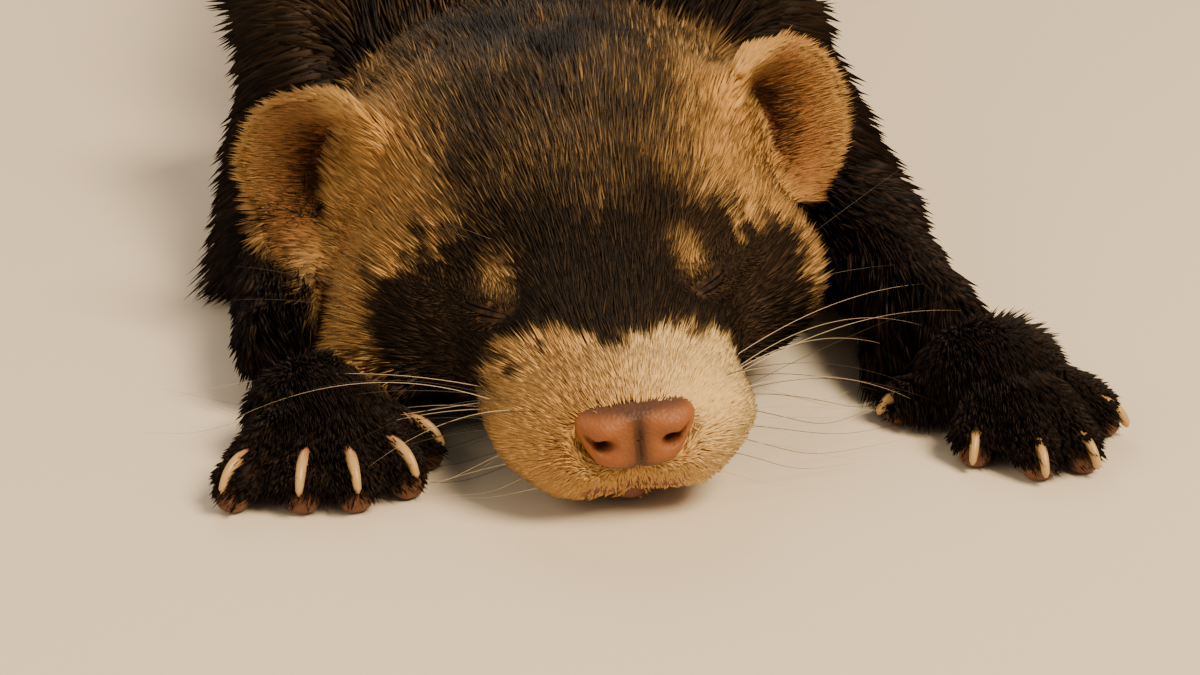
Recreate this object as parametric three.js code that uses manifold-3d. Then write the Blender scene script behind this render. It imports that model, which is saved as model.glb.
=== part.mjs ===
// A sable ferret asleep flat on its belly, at life size in millimetres: chin on the floor, eyes shut,
// one forepaw beside the muzzle and the other reaching out to the side. It faces -Y, its own left is
// +X, +Z is up, and the origin lies on the floor under the chest. Each surface is the coat's outside.

import * as THREE from "three";
import { mergeVertices } from "three/addons/utils/BufferGeometryUtils.js";
import Module from "manifold-3d";

const wasm = await Module();
wasm.setup();

// Driving sizes of the animal
const HEAD_WIDTH = 53; // across the cheeks
const HEAD_LENGTH = 62; // nose to nape
const CHEST_WIDTH = 66;
const BACK_HEIGHT = 54;
const TRUNK_LENGTH = 268; // nape to root of tail
const TAIL_LENGTH = 132;
const NOSE_HEIGHT = 10.3; // with the chin on the floor
const EAR_RADIUS = 10.4;
const FOREARM_RADIUS = 7.8; // at the elbow
const TOE_RADIUS = 3.1;
const CLAW_RADIUS = 0.8;

const GAP = 0.4; // between pieces that meet
const SMOOTHED = 0.14; // how far a surface may move where needless facets are dropped
const SINK = 2.6; // how far a resting form is pressed flat by its own weight
const FAR = 700; // larger than the animal

// How the head lies: turned a little to its left and tipped to its right
const HEAD_TURN = THREE.MathUtils.degToRad(10);
const HEAD_TIP = THREE.MathUtils.degToRad(-3.7);
const NOSE = new THREE.Vector3(16, -120, NOSE_HEIGHT);

// Fields: each is a function of a point that is negative inside the form and grows with distance outside it

const egg =
  ([cx, cy, cz], [rx, ry, rz]) =>
  (x, y, z) => {
    const [a, b, c] = [(x - cx) / rx, (y - cy) / ry, (z - cz) / rz];
    const k = Math.hypot(a, b, c);
    return k < 1e-6 ? -Math.min(rx, ry, rz) : (k * (k - 1)) / Math.hypot(a / rx, b / ry, c / rz);
  };

const limb =
  ([ax, ay, az], ra, [bx, by, bz], rb) =>
  (x, y, z) => {
    const [dx, dy, dz] = [bx - ax, by - ay, bz - az];
    const along = ((x - ax) * dx + (y - ay) * dy + (z - az) * dz) / (dx * dx + dy * dy + dz * dz);
    const t = Math.min(1, Math.max(0, along));
    return Math.hypot(x - ax - t * dx, y - ay - t * dy, z - az - t * dz) - ra - t * (rb - ra);
  };

// Forms that run into each other with a soft fillet of about the given width
const melt =
  (width, ...forms) =>
  (x, y, z) =>
    forms
      .map((form) => form(x, y, z))
      .reduce((d, e) => {
        const h = Math.max(width - Math.abs(d - e), 0) / width;
        return Math.min(d, e) - (h * h * width) / 4;
      });

const onBothSides = (form) => (x, y, z) => form(Math.abs(x), y, z);

const grown = (form, by) => (x, y, z) => form(x, y, z) - by;

// The head's own frame: x to its left, y back from the nose, z up, origin at the tip of the nose
const headFrame = new THREE.Object3D();
headFrame.position.copy(NOSE);
headFrame.rotation.set(0, HEAD_TIP, HEAD_TURN, "ZXY");
headFrame.updateMatrixWorld(true);
const toHead = headFrame.matrixWorld.clone().invert();

const inHeadFrame = (form) => {
  const point = new THREE.Vector3();
  return (x, y, z) => {
    point.set(x, y, z).applyMatrix4(toHead);
    return form(point.x, point.y, point.z);
  };
};

// A number that runs smoothly through the values of one key at the stations of a body
function smoothAlong(stations, key, y) {
  const last = stations.length - 1;
  let i = 0;
  while (i < last - 1 && stations[i + 1].y < y) i += 1;
  const slope = (j) => {
    const [p, q] = [stations[Math.max(j - 1, 0)], stations[Math.min(j + 1, last)]];
    return (q[key] - p[key]) / (q.y - p.y);
  };
  const [a, b] = [stations[i], stations[i + 1]];
  const span = b.y - a.y;
  const t = Math.min(1, Math.max(0, (y - a.y) / span));
  const [t2, t3] = [t * t, t * t * t];
  return (
    (2 * t3 - 3 * t2 + 1) * a[key] +
    (t3 - 2 * t2 + t) * span * slope(i) +
    (3 * t2 - 2 * t3) * b[key] +
    (t3 - t2) * span * slope(i + 1)
  );
}

// A long body whose middle, half-width and half-height change along Y
const trunkForm = (stations) => (x, y, z) => {
  const [first, last] = [stations[0].y, stations[stations.length - 1].y];
  const at = Math.min(last, Math.max(first, y));
  const [w, h] = [smoothAlong(stations, "wide", at), smoothAlong(stations, "high", at)];
  const side = Math.abs(x - smoothAlong(stations, "x", at)) / w;
  const up = Math.abs(z - smoothAlong(stations, "z", at)) / h;
  const beyond = Math.abs(y - at) / Math.min(w, h);
  return ((side ** 2.2 + up ** 2.2 + beyond ** 2.2) ** (1 / 2.2) - 1) * Math.min(w, h);
};

// From a field to a closed mesh: one vertex in each grid cell that the surface crosses, slid onto the
// surface, and a pair of triangles across each grid edge that it cuts
function skinOf(form, low, high, cell) {
  const count = low.map((l, k) => Math.ceil((high[k] - l) / cell[k]) + 1);
  const place = (i, j, k) => [low[0] + i * cell[0], low[1] + j * cell[1], low[2] + k * cell[2]];
  const index = (i, j, k) => i + count[0] * (j + count[1] * k);
  const value = new Float64Array(count[0] * count[1] * count[2]);
  for (let k = 0; k < count[2]; k += 1)
    for (let j = 0; j < count[1]; j += 1)
      for (let i = 0; i < count[0]; i += 1) {
        const rim = [i, j, k].some((n, a) => n === 0 || n === count[a] - 1);
        const here = form(...place(i, j, k));
        value[index(i, j, k)] = rim ? Math.max(here, 1e-3) : here;
      }

  const corners = [0, 1].flatMap((c) => [0, 1].flatMap((b) => [0, 1].map((a) => [a, b, c])));
  const vertices = [];
  const vertexOf = new Map();
  for (let k = 0; k < count[2] - 1; k += 1)
    for (let j = 0; j < count[1] - 1; j += 1)
      for (let i = 0; i < count[0] - 1; i += 1) {
        const crossing = new THREE.Vector3();
        let found = 0;
        for (const a of corners)
          for (let axis = 0; axis < 3; axis += 1) {
            if (a[axis]) continue;
            const b = a.map((n, m) => n + (m === axis));
            const [va, vb] = [a, b].map((n) => value[index(i + n[0], j + n[1], k + n[2])]);
            if (va < 0 === vb < 0) continue;
            const t = va / (va - vb);
            crossing.add(new THREE.Vector3(...a.map((n, m) => n + (m === axis ? t : 0))));
            found += 1;
          }
        if (!found) continue;
        const [x0, y0, z0] = place(i, j, k);
        const p = crossing.divideScalar(found);
        p.set(x0 + p.x * cell[0], y0 + p.y * cell[1], z0 + p.z * cell[2]);
        slideOnto(form, p, [x0, y0, z0], cell);
        vertexOf.set(index(i, j, k), vertices.length / 3);
        vertices.push(p.x, p.y, p.z);
      }

  const triangles = [];
  for (let k = 0; k < count[2] - 1; k += 1)
    for (let j = 0; j < count[1] - 1; j += 1)
      for (let i = 0; i < count[0] - 1; i += 1)
        for (let axis = 0; axis < 3; axis += 1) {
          const [b, c] = [(axis + 1) % 3, (axis + 2) % 3];
          if (![i, j, k][b] || ![i, j, k][c]) continue;
          const step = [0, 1, 2].map((m) => +(m === axis));
          const inside = value[index(i, j, k)] < 0;
          if (inside === value[index(i + step[0], j + step[1], k + step[2])] < 0) continue;
          const quad = [[0, 0], [1, 0], [1, 1], [0, 1]].map(([db, dc]) => {
            const at = [i, j, k];
            at[b] -= db;
            at[c] -= dc;
            return vertexOf.get(index(...at));
          });
          if (!inside) quad.reverse();
          triangles.push(...splitQuad(quad, vertices));
        }
  const geometry = new THREE.BufferGeometry();
  geometry.setAttribute("position", new THREE.Float32BufferAttribute(vertices, 3));
  geometry.setIndex(triangles);
  return geometry;
}

// Two steps down the field's slope, kept inside the vertex's own cell
function slideOnto(form, p, corner, cell) {
  const reach = 0.05;
  for (let turn = 0; turn < 2; turn += 1) {
    const here = form(p.x, p.y, p.z);
    const slope = new THREE.Vector3(
      form(p.x + reach, p.y, p.z) - here,
      form(p.x, p.y + reach, p.z) - here,
      form(p.x, p.y, p.z + reach) - here,
    ).divideScalar(reach);
    p.addScaledVector(slope, -here / Math.max(slope.lengthSq(), 0.2));
  }
  ["x", "y", "z"].forEach((key, m) => {
    const [low, high] = [corner[m] + 0.02 * cell[m], corner[m] + 0.98 * cell[m]];
    p[key] = Math.min(high, Math.max(low, p[key]));
  });
}

// A quad cut along its shorter diagonal
function splitQuad([a, b, c, d], vertices) {
  const apart = (p, q) => Math.hypot(...[0, 1, 2].map((m) => vertices[3 * p + m] - vertices[3 * q + m]));
  return apart(a, c) < apart(b, d) ? [a, b, c, a, c, d] : [a, b, d, b, c, d];
}

// A closed tube along a curve, with an elliptical section and round ends
function tubeAlong(curve, radiusAt, sides, rings, flatness = 1) {
  const positions = [];
  const triangles = [];
  const up = new THREE.Vector3(0, 0, 1);
  const addRing = (t) => {
    const centre = curve.getPoint(t);
    const tangent = curve.getTangent(t);
    const side = new THREE.Vector3().crossVectors(tangent, up).normalize();
    const over = new THREE.Vector3().crossVectors(side, tangent);
    for (let s = 0; s < sides; s += 1) {
      const turn = (s / sides) * 2 * Math.PI;
      const p = centre
        .clone()
        .addScaledVector(side, Math.cos(turn) * radiusAt(t))
        .addScaledVector(over, Math.sin(turn) * radiusAt(t) * flatness);
      positions.push(...p);
    }
  };
  for (let r = 0; r <= rings; r += 1) addRing(r / rings);
  for (let r = 0; r < rings; r += 1)
    for (let s = 0; s < sides; s += 1) {
      const [a, b] = [r * sides + s, r * sides + ((s + 1) % sides)];
      triangles.push(b, a, a + sides, b, a + sides, b + sides);
    }
  [0, rings].forEach((r) => {
    const t = r / rings;
    const cap = curve.getPoint(t).addScaledVector(curve.getTangent(t), (r ? 1 : -1) * radiusAt(t) * 0.5);
    const tip = positions.length / 3;
    positions.push(...cap);
    for (let s = 0; s < sides; s += 1) {
      const [a, b] = [r * sides + s, r * sides + ((s + 1) % sides)];
      triangles.push(...(r ? [b, a, tip] : [a, b, tip]));
    }
  });
  const geometry = new THREE.BufferGeometry();
  geometry.setAttribute("position", new THREE.Float32BufferAttribute(positions, 3));
  geometry.setIndex(triangles);
  return geometry;
}

// Solids, for cutting and joining

function solid(geometry) {
  const bare = geometry.clone();
  bare.deleteAttribute("normal");
  bare.deleteAttribute("uv");
  const merged = mergeVertices(bare, 1e-4);
  const made = new wasm.Manifold(
    new wasm.Mesh({
      numProp: 3,
      vertProperties: new Float32Array(merged.attributes.position.array),
      triVerts: new Uint32Array(merged.index.array),
    }),
  );
  return made;
}

function meshOf(name, made, material) {
  const pieces = made.simplify(SMOOTHED).decompose();
  const largest = pieces.reduce((a, b) => (b.volume() > a.volume() ? b : a));
  const { vertProperties, triVerts, numProp, numVert } = largest.getMesh();
  const positions = new Float32Array(numVert * 3);
  for (let i = 0; i < numVert; i += 1)
    positions.set(vertProperties.subarray(i * numProp, i * numProp + 3), i * 3);
  const geometry = new THREE.BufferGeometry();
  geometry.setAttribute("position", new THREE.BufferAttribute(positions, 3));
  geometry.setIndex(new THREE.BufferAttribute(triVerts, 1));
  const mesh = new THREE.Mesh(geometry, material);
  mesh.name = name;
  return mesh;
}

// An ellipsoid with its own turned axes
function eggSolid(radii, matrix, wide = 20, high = 14) {
  const geometry = new THREE.SphereGeometry(1, wide, high);
  geometry.scale(...radii);
  return solid(geometry.applyMatrix4(matrix));
}

const movedTo = (x, y, z) => new THREE.Matrix4().makeTranslation(x, y, z);

// A turn that points z along one direction and x as nearly as it can along another
function facing(out, across) {
  const z = out.clone().normalize();
  const y = new THREE.Vector3().crossVectors(z, across).normalize();
  const x = new THREE.Vector3().crossVectors(y, z);
  return new THREE.Matrix4().makeBasis(x, y, z);
}

// All that lies ahead of a plane: the side that its normal points to
function ahead(point, normal) {
  const geometry = new THREE.BoxGeometry(FAR, FAR, FAR);
  geometry.translate(0, 0, FAR / 2);
  const level = Math.abs(normal.z) > 0.9;
  const across = level ? new THREE.Vector3(1, 0, 0) : new THREE.Vector3(0, 0, 1);
  return solid(geometry.applyMatrix4(facing(normal, across)).translate(point.x, point.y, point.z));
}

const aboveFloor = ahead(new THREE.Vector3(), new THREE.Vector3(0, 0, 1));

// Keeps what lies between two cross cuts of the body, less half a gap at each
function between(made, from, to) {
  const half = GAP / 2;
  let kept = made;
  if (from) kept = kept.intersect(ahead(from.point.clone().addScaledVector(from.normal, half), from.normal));
  if (to) {
    const back = to.normal.clone().negate();
    kept = kept.intersect(ahead(to.point.clone().addScaledVector(back, half), back));
  }
  return kept;
}

// Materials

const coatMaterial = (color) => new THREE.MeshStandardMaterial({ color, roughness: 0.85, metalness: 0 });
const GRIZZLED = coatMaterial(0x6b5336);
const CREAM = coatMaterial(0xd9b06f);
const SABLE = coatMaterial(0x241a16);
const LEATHER = new THREE.MeshStandardMaterial({ color: 0xa5613a, roughness: 0.5, metalness: 0 });
const HORN = new THREE.MeshStandardMaterial({ color: 0xe0c389, roughness: 0.35, metalness: 0 });

// Head: sections from the lips back to the nape, in the head's own frame, with the jaw under the lips

const CHEEK = HEAD_WIDTH / 2;
const section = (back, wide, top, bottom) => ({
  y: back * HEAD_LENGTH,
  x: 0,
  wide: wide * CHEEK,
  high: (top - bottom) / 2,
  z: (top + bottom) / 2,
});
const headSections = [
  section(0.13, 0.44, 5.2, -8.6),
  section(0.22, 0.5, 8.0, -9.2),
  section(0.32, 0.57, 11.6, -9.6),
  section(0.44, 0.68, 16.2, -10.2),
  section(0.55, 0.78, 19.8, -10.8),
  section(0.68, 0.85, 22.4, -11),
  section(0.82, 0.89, 23.7, -11),
  section(0.95, 0.89, 23.5, -11),
];
const whiskerPad = egg([6.3, 8.7, -3.7], [6.9, 7.4, 5.5]);
const cheek = egg([CHEEK - 11.5, 0.58 * HEAD_LENGTH, 1.2], [11.8, 13.5, 9.8]);
const headForm = inHeadFrame(onBothSides(melt(4, trunkForm(headSections), whiskerPad, cheek)));
const chin = limb([0, 7.4, -8.4], 3.4, [0, 15, -8.6], 5);
const throat = egg([0, 21, -8.4], [9.5, 13, 4.6]);
const jawForm = inHeadFrame(melt(3, chin, throat));

// Back: neck, chest, belly and rump along one gently curved line

const CHEST = CHEST_WIDTH / 2;
const HALF_HIGH = (BACK_HEIGHT + SINK) / 2;
const napeAt = NOSE.y + HEAD_LENGTH;
const station = (share, x, wide, high) => ({
  y: napeAt + share * TRUNK_LENGTH,
  x,
  wide: wide * CHEST,
  high: high * HALF_HIGH,
  z: high * HALF_HIGH - SINK,
});
const stations = [
  station(-0.03, 6, 0.66, 0.6),
  station(0.07, 3, 0.75, 0.69),
  station(0.15, 1, 0.88, 0.82),
  station(0.24, 0, 1.0, 0.93),
  station(0.4, -4, 1.0, 0.97),
  station(0.57, -8, 1.03, 1.0),
  station(0.71, -6, 1.01, 1.0),
  station(0.84, 2, 0.97, 0.98),
  station(0.94, 12, 0.7, 0.78),
  station(1.0, 18, 0.36, 0.44),
];
const TAIL_ROOT = stations[stations.length - 1];
const backForm = trunkForm(stations);

// Legs: the tips say where each claw ends and how high, inner toe first

const forelegs = [
  {
    side: "left",
    shoulder: [22, -24, 23],
    elbow: [38.5, -50, 9.6],
    wrist: [46.5, -80, 7],
    palm: [53, -91, 5.4],
    tips: [[41, -94], [49.6, -106], [56.6, -109.2], [62, -107.2], [66.8, -96.8]],
    clawHeight: 1.2,
  },
  {
    side: "right",
    shoulder: [-18, -26, 23],
    elbow: [-24, -55, 8.8],
    wrist: [-20.5, -88, 6.4],
    palm: [-15.5, -101, 5.4],
    tips: [[-3.4, -105.6], [-5.2, -113.2], [-10.7, -116.7], [-16.4, -117], [-23.9, -116.6]],
    clawHeight: 2.6,
  },
];
const upperArms = forelegs.map(({ shoulder, elbow }) => limb(shoulder, 14, elbow, 8.6));

const HIP_Y = napeAt + 0.83 * TRUNK_LENGTH;
const hipX = smoothAlong(stations, "x", HIP_Y);
// Each claw tip of a hind foot, out and ahead of the ball of the foot
const TOE_FAN = [[-7.2, 17], [-4, 21.8], [0.2, 24], [4.8, 22.5], [9.2, 17]];
const hindlegs = ["left", "right"].map((side) => {
  const out = (x) => hipX + (side === "left" ? x : -x);
  return {
    side,
    thigh: [out(25), HIP_Y, 19],
    knee: [out(33), HIP_Y - 21, 14],
    heel: [out(40), HIP_Y + 25, 6.4],
    palm: [out(49), HIP_Y - 10, 5.4],
    tips: TOE_FAN.map(([aside, ahead]) => [out(49 + aside), HIP_Y - 10 - ahead]),
    clawHeight: 1.2,
  };
});
const thighs = hindlegs.flatMap(({ thigh, knee }) => [egg(thigh, [19, 31, 20]), egg(knee, [13, 15, 12.5])]);

// One toe: from the ball of the foot over the knuckle to the pad, with the claw's root above the pad
function toeTo([tipX, tipY], palm, clawHeight) {
  const centre = new THREE.Vector3(palm[0], palm[1], 0);
  const way = new THREE.Vector3(tipX, tipY, 0).sub(centre);
  const reach = way.length();
  way.normalize();
  const at = (along, up) => centre.clone().addScaledVector(way, along).setZ(up);
  const pad = at(reach - TOE_RADIUS - 2.6 + 1.2 * clawHeight, TOE_RADIUS - 0.5);
  const knuckle = at(Math.max(reach - 9.5, 2), TOE_RADIUS + 2);
  const root = at(reach - TOE_RADIUS - 0.9, clawHeight + 3.6);
  const bend = at(reach - 0.3, clawHeight + 3.5);
  const bone = limb([...at(2, 5)], TOE_RADIUS, [...knuckle], TOE_RADIUS - 0.2);
  const fingertip = limb([...knuckle], TOE_RADIUS - 0.3, [...pad], TOE_RADIUS - 0.4);
  return {
    form: melt(1.2, bone, fingertip),
    claw: new THREE.QuadraticBezierCurve3(root, bend, at(reach, clawHeight)),
  };
}

// Coats of the fields, fine on the head and coarse on the back

const coat = (form, [low, high], cell) => solid(skinOf(form, low, high, cell));
const headField = melt(8, headForm, backForm);
const frontField = melt(8, headForm, melt(9, backForm, ...upperArms));
const rearField = melt(9, backForm, ...thighs);
const boxes = {
  head: [[-28, -126, -6], [52, -36, 44]],
  jaw: [[0, -124, -6], [34, -84, 12]],
  front: [[-56, -84, -10], [60, 12, 66]],
  middle: [[-56, -48, -12], [48, 152, 70]],
  rear: [[-60, 110, -12], [64, TAIL_ROOT.y + 24, 70]],
};
const cells = {
  head: [3.5, 3.5, 3.5],
  jaw: [3, 3, 2.6],
  front: [5.4, 5.4, 5.4],
  middle: [9, 15, 8],
  rear: [8, 9.5, 8],
  paw: [2.8, 2.8, 2.5],
};
const coats = {
  head: coat(headField, boxes.head, cells.head),
  headAround: coat(grown(headField, GAP), boxes.head, cells.head),
  jaw: coat(jawForm, boxes.jaw, cells.jaw),
  jawAround: coat(grown(jawForm, GAP), boxes.jaw, cells.jaw),
  front: coat(frontField, boxes.front, cells.front),
  frontAround: coat(grown(frontField, 2 * GAP), boxes.front, cells.front),
  middle: coat(backForm, boxes.middle, cells.middle),
  rear: coat(rearField, boxes.rear, cells.rear),
  rearAround: coat(grown(rearField, 2 * GAP), boxes.rear, cells.rear),
};

// Cross cuts of the body, each about square to the back

const crossCut = (share, turn) => {
  const y = napeAt + share * TRUNK_LENGTH;
  return {
    point: new THREE.Vector3(smoothAlong(stations, "x", y), y, 0),
    normal: new THREE.Vector3(-Math.sin(turn), Math.cos(turn), 0),
  };
};
const cuts = {
  nape: crossCut(0.03, HEAD_TURN),
  shoulder: crossCut(0.12, 0.1),
  ribs: crossCut(0.42, 0.06),
  loin: crossCut(0.68, -0.05),
};
const headRegion = between(coats.headAround, null, cuts.nape);

const animal = new THREE.Group();
const add = (name, made, material) => animal.add(meshOf(name, made.intersect(aboveFloor), material));

// Ears: thick-rimmed cups that stand out beside the crown, with room cleared round them. A profile
// runs out from the cup's middle and forward

const EAR_FACING = [0.62, -0.76, 0.18];
const EAR_PLACE = [0.93 * CHEEK, 0.79 * HEAD_LENGTH, 12];
const EAR_NARROW = 0.94; // width over height
const EAR_BACK = [[0, -6.4], [4.8, -5.5], [8.2, -3], [9.9, -0.4], [10.3, 1.1]];
const EAR_HOLLOW = [[9.3, 1.5], [8.1, 0.5], [6.6, -1.6], [3.6, -3.3], [0, -3.9]];
const EAR_CUP = [...EAR_BACK, ...EAR_HOLLOW];
const EAR_ROOM = [[0, -6.8], [4.9, -5.9], [8.5, -3.3], [10.3, -0.6], [10.7, 1.2], [9.6, 1.9], [0, 1.9]];
function earShape(profile, side) {
  const scale = EAR_RADIUS / Math.max(...EAR_BACK.map(([r]) => r));
  const mirrored = ([x, y, z]) => new THREE.Vector3(side * x, y, z);
  const shape = new THREE.LatheGeometry(profile.map(([r, up]) => new THREE.Vector2(r * scale, up)), 20);
  shape.rotateX(Math.PI / 2).scale(EAR_NARROW, 1, 1);
  shape.applyMatrix4(facing(mirrored(EAR_FACING), new THREE.Vector3(0, 0, 1)));
  shape.translate(...mirrored(EAR_PLACE));
  return solid(shape.applyMatrix4(headFrame.matrixWorld));
}
add("ear_left", earShape(EAR_CUP, 1).subtract(headRegion), CREAM);
add("ear_right", earShape(EAR_CUP, -1).subtract(headRegion), CREAM);
const headAndEars = headRegion.add(earShape(EAR_ROOM, 1)).add(earShape(EAR_ROOM, -1));

// Upper limbs, each parted from the trunk by an egg-shaped cut

const upperLimbs = [
  ...forelegs.map(({ side, shoulder, elbow }) => {
    const sign = Math.sign(elbow[0]);
    const centre = [(shoulder[0] + elbow[0]) / 2 + 6 * sign, (shoulder[1] + elbow[1]) / 2, 10];
    return { name: `upper_arm_${side}`, from: coats.front, centre, radii: [14, 30, 24] };
  }),
  ...hindlegs.map(({ side, thigh }) => {
    const centre = [thigh[0] + Math.sign(thigh[0] - hipX) * 11, thigh[1] - 2, 10];
    return { name: `thigh_${side}`, from: coats.rear, centre, radii: [19, 42, 27] };
  }),
];
let { front, middle, rear } = coats;
front = front.subtract(headAndEars);
for (const { name, from, centre, radii } of upperLimbs) {
  const inner = eggSolid(radii, movedTo(...centre), 24, 14);
  const outer = eggSolid(radii.map((r) => r + GAP), movedTo(...centre), 24, 14);
  add(name, from.intersect(inner).subtract(headAndEars), SABLE);
  [front, middle, rear] = [front, middle, rear].map((part) => part.subtract(outer));
}

add("neck", between(front, cuts.nape, cuts.shoulder), GRIZZLED);
add("chest", between(middle, cuts.shoulder, cuts.ribs), GRIZZLED);
add("belly", between(middle, cuts.ribs, cuts.loin), GRIZZLED);
add("rump", between(rear, cuts.loin, null), GRIZZLED);

// Forearms, and feet with five toes and a horn claw on each

function addFoot(name, { side, palm, tips, clawHeight }, leg, bodyAround, wristCut) {
  const toes = tips.map((tip) => toeTo(tip, palm, clawHeight));
  const form = melt(2.5, egg(palm, [8.2, 8.6, 6.2]), ...leg, ...toes.map((toe) => toe.form));
  const reachY = tips.map(([, y]) => y);
  const box = [
    [palm[0] - 24, Math.min(...reachY) - 6, -5],
    [palm[0] + 24, palm[1] + 44, 22],
  ];
  const clawRadius = (t) => CLAW_RADIUS * (1 - 0.72 * t * t);
  let foot = coat(form, box, cells.paw).subtract(bodyAround).subtract(headAndEars);
  if (wristCut) foot = between(foot, null, wristCut);
  toes.forEach(({ claw }, i) => {
    foot = foot.subtract(solid(tubeAlong(claw, (t) => clawRadius(t) + GAP, 7, 2)));
    add(`claw_${name}_${side}_${i + 1}`, solid(tubeAlong(claw, clawRadius, 6, 3)), HORN);
  });
  add(`${name}paw_${side}`, foot, SABLE);
}

for (const foreleg of forelegs) {
  const joints = [foreleg.elbow, foreleg.wrist, foreleg.palm];
  const [elbow, wrist, palm] = joints.map((p) => new THREE.Vector3(...p));
  const way = wrist.clone().sub(elbow).setZ(0).normalize().negate();
  const wristCut = { point: wrist, normal: way };
  const bones = new THREE.CatmullRomCurve3([elbow, elbow.clone().lerp(wrist, 0.5), wrist, palm]);
  const forearm = solid(tubeAlong(bones, (t) => FOREARM_RADIUS - 1.8 * t, 14, 9));
  const bare = forearm.subtract(coats.frontAround).subtract(headAndEars);
  add(`forearm_${foreleg.side}`, between(bare, wristCut, null), SABLE);
  addFoot("fore", foreleg, [limb(foreleg.wrist, 6.4, foreleg.palm, 5)], coats.frontAround, wristCut);
}
for (const hindleg of hindlegs) {
  const foot = limb(hindleg.heel, 6.2, hindleg.palm, 5.8);
  addFoot("hind", hindleg, [foot], coats.rearAround, null);
}

// Tail: a soft taper that lies along the floor and curls to the left

const tailRadius = (t) => 10.2 - 1.4 * t - 5.6 * t ** 5;
const tailPath = [[0, -8], [0.07, 14], [0.24, 40], [0.42, 66], [0.53, 92], [0.55, TAIL_LENGTH - 14]];
const tailCurve = new THREE.CatmullRomCurve3(
  tailPath.map(([aside, back], i) => {
    const t = i / (tailPath.length - 1);
    return new THREE.Vector3(TAIL_ROOT.x + aside * 90, TAIL_ROOT.y + back, tailRadius(t) - 0.8);
  }),
);
add("tail", solid(tubeAlong(tailCurve, tailRadius, 12, 13)).subtract(coats.rearAround), SABLE);

// Nose: a shield of bare leather, wider above, with two nostrils and a groove down the middle

const NOSE_HALF = [5.2, 4.2, 3.8];
const NOSE_WIDENS = 0.8; // above the middle
const NOSE_SQUARE = 2.8;
const GROOVE = [0.4, 1.3, 3];
const NOSTRIL = [1.5, 2.4, 0.95];
const NOSTRIL_SLIT = [2, 2.6, 0.45];
function noseShield(extra) {
  const geometry = new THREE.SphereGeometry(1, 14, 10);
  const at = geometry.attributes.position;
  const [wide, deep, high] = NOSE_HALF.map((r) => r + extra);
  const p = new THREE.Vector3();
  for (let i = 0; i < at.count; i += 1) {
    p.fromBufferAttribute(at, i);
    const sum = [...p].reduce((total, value) => total + Math.abs(value) ** NOSE_SQUARE, 0);
    p.divideScalar(sum ** (1 / NOSE_SQUARE));
    at.setXYZ(i, p.x * (wide + NOSE_WIDENS * p.z), p.y * deep, p.z * high);
  }
  return solid(geometry.translate(0, 4.1, 0).applyMatrix4(headFrame.matrixWorld));
}
const inHead = (x, y, z, tilt = 0) =>
  headFrame.matrixWorld.clone().multiply(movedTo(x, y, z)).multiply(new THREE.Matrix4().makeRotationY(tilt));
let nose = noseShield(0).subtract(eggSolid(GROOVE, inHead(0, 0, -2.2), 8, 6));
for (const side of [1, -1]) {
  nose = nose
    .subtract(eggSolid(NOSTRIL, inHead(side * 3.2, 0.8, -0.6, side * 0.3), 10, 6))
    .subtract(eggSolid(NOSTRIL_SLIT, inHead(side * 5, 2, 0.7, side * -0.6), 10, 6));
}
add("nose", nose, LEATHER);

// Eyelids: a shallow dome over each shut eye, parted along the slit between the eye's corners

const EYE_CORNERS = [[10.2, 17.7, 7], [15.1, 23, 7.7]];
const LID = [4.7, 3.4, 3.7];
const LID_ROOM = LID.map((r) => r + GAP);
const LID_SUNK = 2.5;
const SLIT_DROP = 0.7; // below the middle of the dome
const probe = (p) => headField(p.x, p.y, p.z);
function outwardAt(p) {
  const reach = 0.4;
  const slope = ["x", "y", "z"].map((key) => {
    const [before, after] = [p.clone(), p.clone()];
    before[key] -= reach;
    after[key] += reach;
    return probe(after) - probe(before);
  });
  return new THREE.Vector3(...slope).normalize();
}
let sockets = noseShield(GAP);
for (const side of [1, -1]) {
  const [inner, outer] = EYE_CORNERS.map(([x, y, z]) =>
    new THREE.Vector3(side * x, y, z).applyMatrix4(headFrame.matrixWorld),
  );
  const centre = inner.clone().lerp(outer, 0.5);
  const out = outwardAt(centre);
  centre.addScaledVector(out, -probe(centre) - LID_SUNK);
  const slit = outer.clone().sub(inner).normalize();
  const lid = facing(out, slit).setPosition(centre);
  const above = new THREE.Vector3().crossVectors(slit, out).normalize();
  if (above.z < 0) above.negate();
  const shut = { point: centre.clone().addScaledVector(above, -SLIT_DROP), normal: above };
  const dome = eggSolid(LID, lid, 14, 8);
  sockets = sockets.add(eggSolid(LID_ROOM, lid, 14, 8));
  const name = side > 0 ? "left" : "right";
  add(`eyelid_upper_${name}`, between(dome, shut, null), SABLE);
  add(`eyelid_lower_${name}`, between(dome, null, shut), SABLE);
}

// Skull and jaw last, less all that is set into them

add("head", between(coats.head, null, cuts.nape).subtract(coats.jawAround).subtract(sockets), CREAM);
add("jaw", coats.jaw, CREAM);

export default animal;
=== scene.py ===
import math

import bpy
import numpy as np
from mathutils import Matrix, Vector
from mathutils.bvhtree import BVHTree
from mathutils.kdtree import KDTree


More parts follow.
